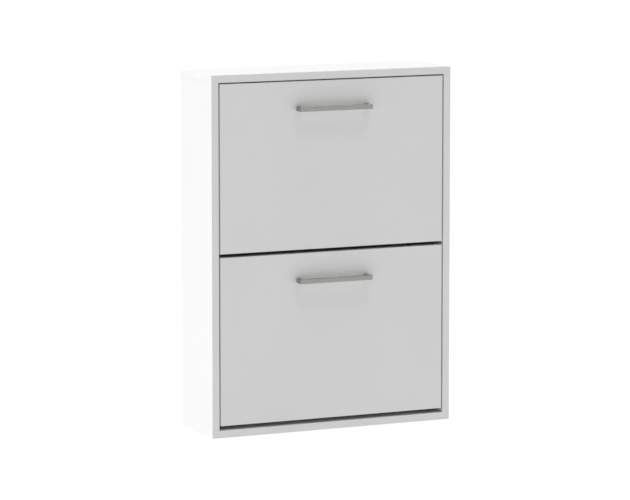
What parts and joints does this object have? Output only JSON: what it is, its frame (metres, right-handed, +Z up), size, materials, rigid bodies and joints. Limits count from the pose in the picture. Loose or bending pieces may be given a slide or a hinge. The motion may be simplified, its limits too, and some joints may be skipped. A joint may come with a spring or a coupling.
{
  "type": "shoe cabinet",
  "caption": "Shallow white shoe cabinet: a board carcass with two tip-out flaps, one above the other, each with a bow handle and a shoe holder behind it.",
  "frame": {"origin": "on the floor, under the middle of the carcass (handles not counted)", "axes": "+Z up, the doors and handles face -Y, +X to the right of someone who faces the doors"},
  "size_m": [0.56, 0.193, 0.77],
  "materials": {
    "white_melamine": "satin",
    "hardboard": "matte",
    "white_hardboard": "satin",
    "satin_nickel": "brushed",
    "zinc_plated_steel": "satin",
    "grey_plastic": "matte",
    "beech": "matte",
    "bumper_rubber": "matte"
  },
  "bodies": {
    "carcass": {"left_side_panel": "white_melamine", "right_side_panel": "white_melamine", "top_panel": "white_melamine", "bottom_panel": "white_melamine", "back_panel": "hardboard", "top_rail": "white_melamine", "middle_rail": "white_melamine", "corner_dowels": "beech", "cam_bolts": "zinc_plated_steel", "cam_locks": "zinc_plated_steel", "back_nails": "zinc_plated_steel", "wall_brackets": "zinc_plated_steel", "bracket_screws": "zinc_plated_steel", "door_bumpers": "bumper_rubber", "upper_left_pivot_plate": "grey_plastic", "upper_right_pivot_plate": "grey_plastic", "lower_left_pivot_plate": "grey_plastic", "lower_right_pivot_plate": "grey_plastic", "pivot_plate_screws": "zinc_plated_steel"},
    "upper_flap": {"upper_door": "white_melamine", "upper_handle": "satin_nickel", "upper_handle_screws": "zinc_plated_steel", "upper_left_cheek": "grey_plastic", "upper_right_cheek": "grey_plastic", "upper_tray": "white_melamine", "upper_rear_board": "white_hardboard", "upper_shoe_rod": "satin_nickel", "upper_cheek_screws": "zinc_plated_steel", "upper_pivot_pins": "zinc_plated_steel"},
    "lower_flap": {"lower_door": "white_melamine", "lower_handle": "satin_nickel", "lower_handle_screws": "zinc_plated_steel", "lower_left_cheek": "grey_plastic", "lower_right_cheek": "grey_plastic", "lower_tray": "white_melamine", "lower_rear_board": "white_hardboard", "lower_shoe_rod": "satin_nickel", "lower_cheek_screws": "zinc_plated_steel", "lower_pivot_pins": "zinc_plated_steel"}
  },
  "joints": [
    {"name": "upper_flap_hinge", "type": "hinge", "parent": "carcass", "child": "upper_flap", "pos_m": [0, -0.06, 0.43821], "axis": [1, 0, 0], "range_deg": [0, 45]},
    {"name": "lower_flap_hinge", "type": "hinge", "parent": "carcass", "child": "lower_flap", "pos_m": [0, -0.06, 0.07146], "axis": [1, 0, 0], "range_deg": [0, 45]}
  ]
}
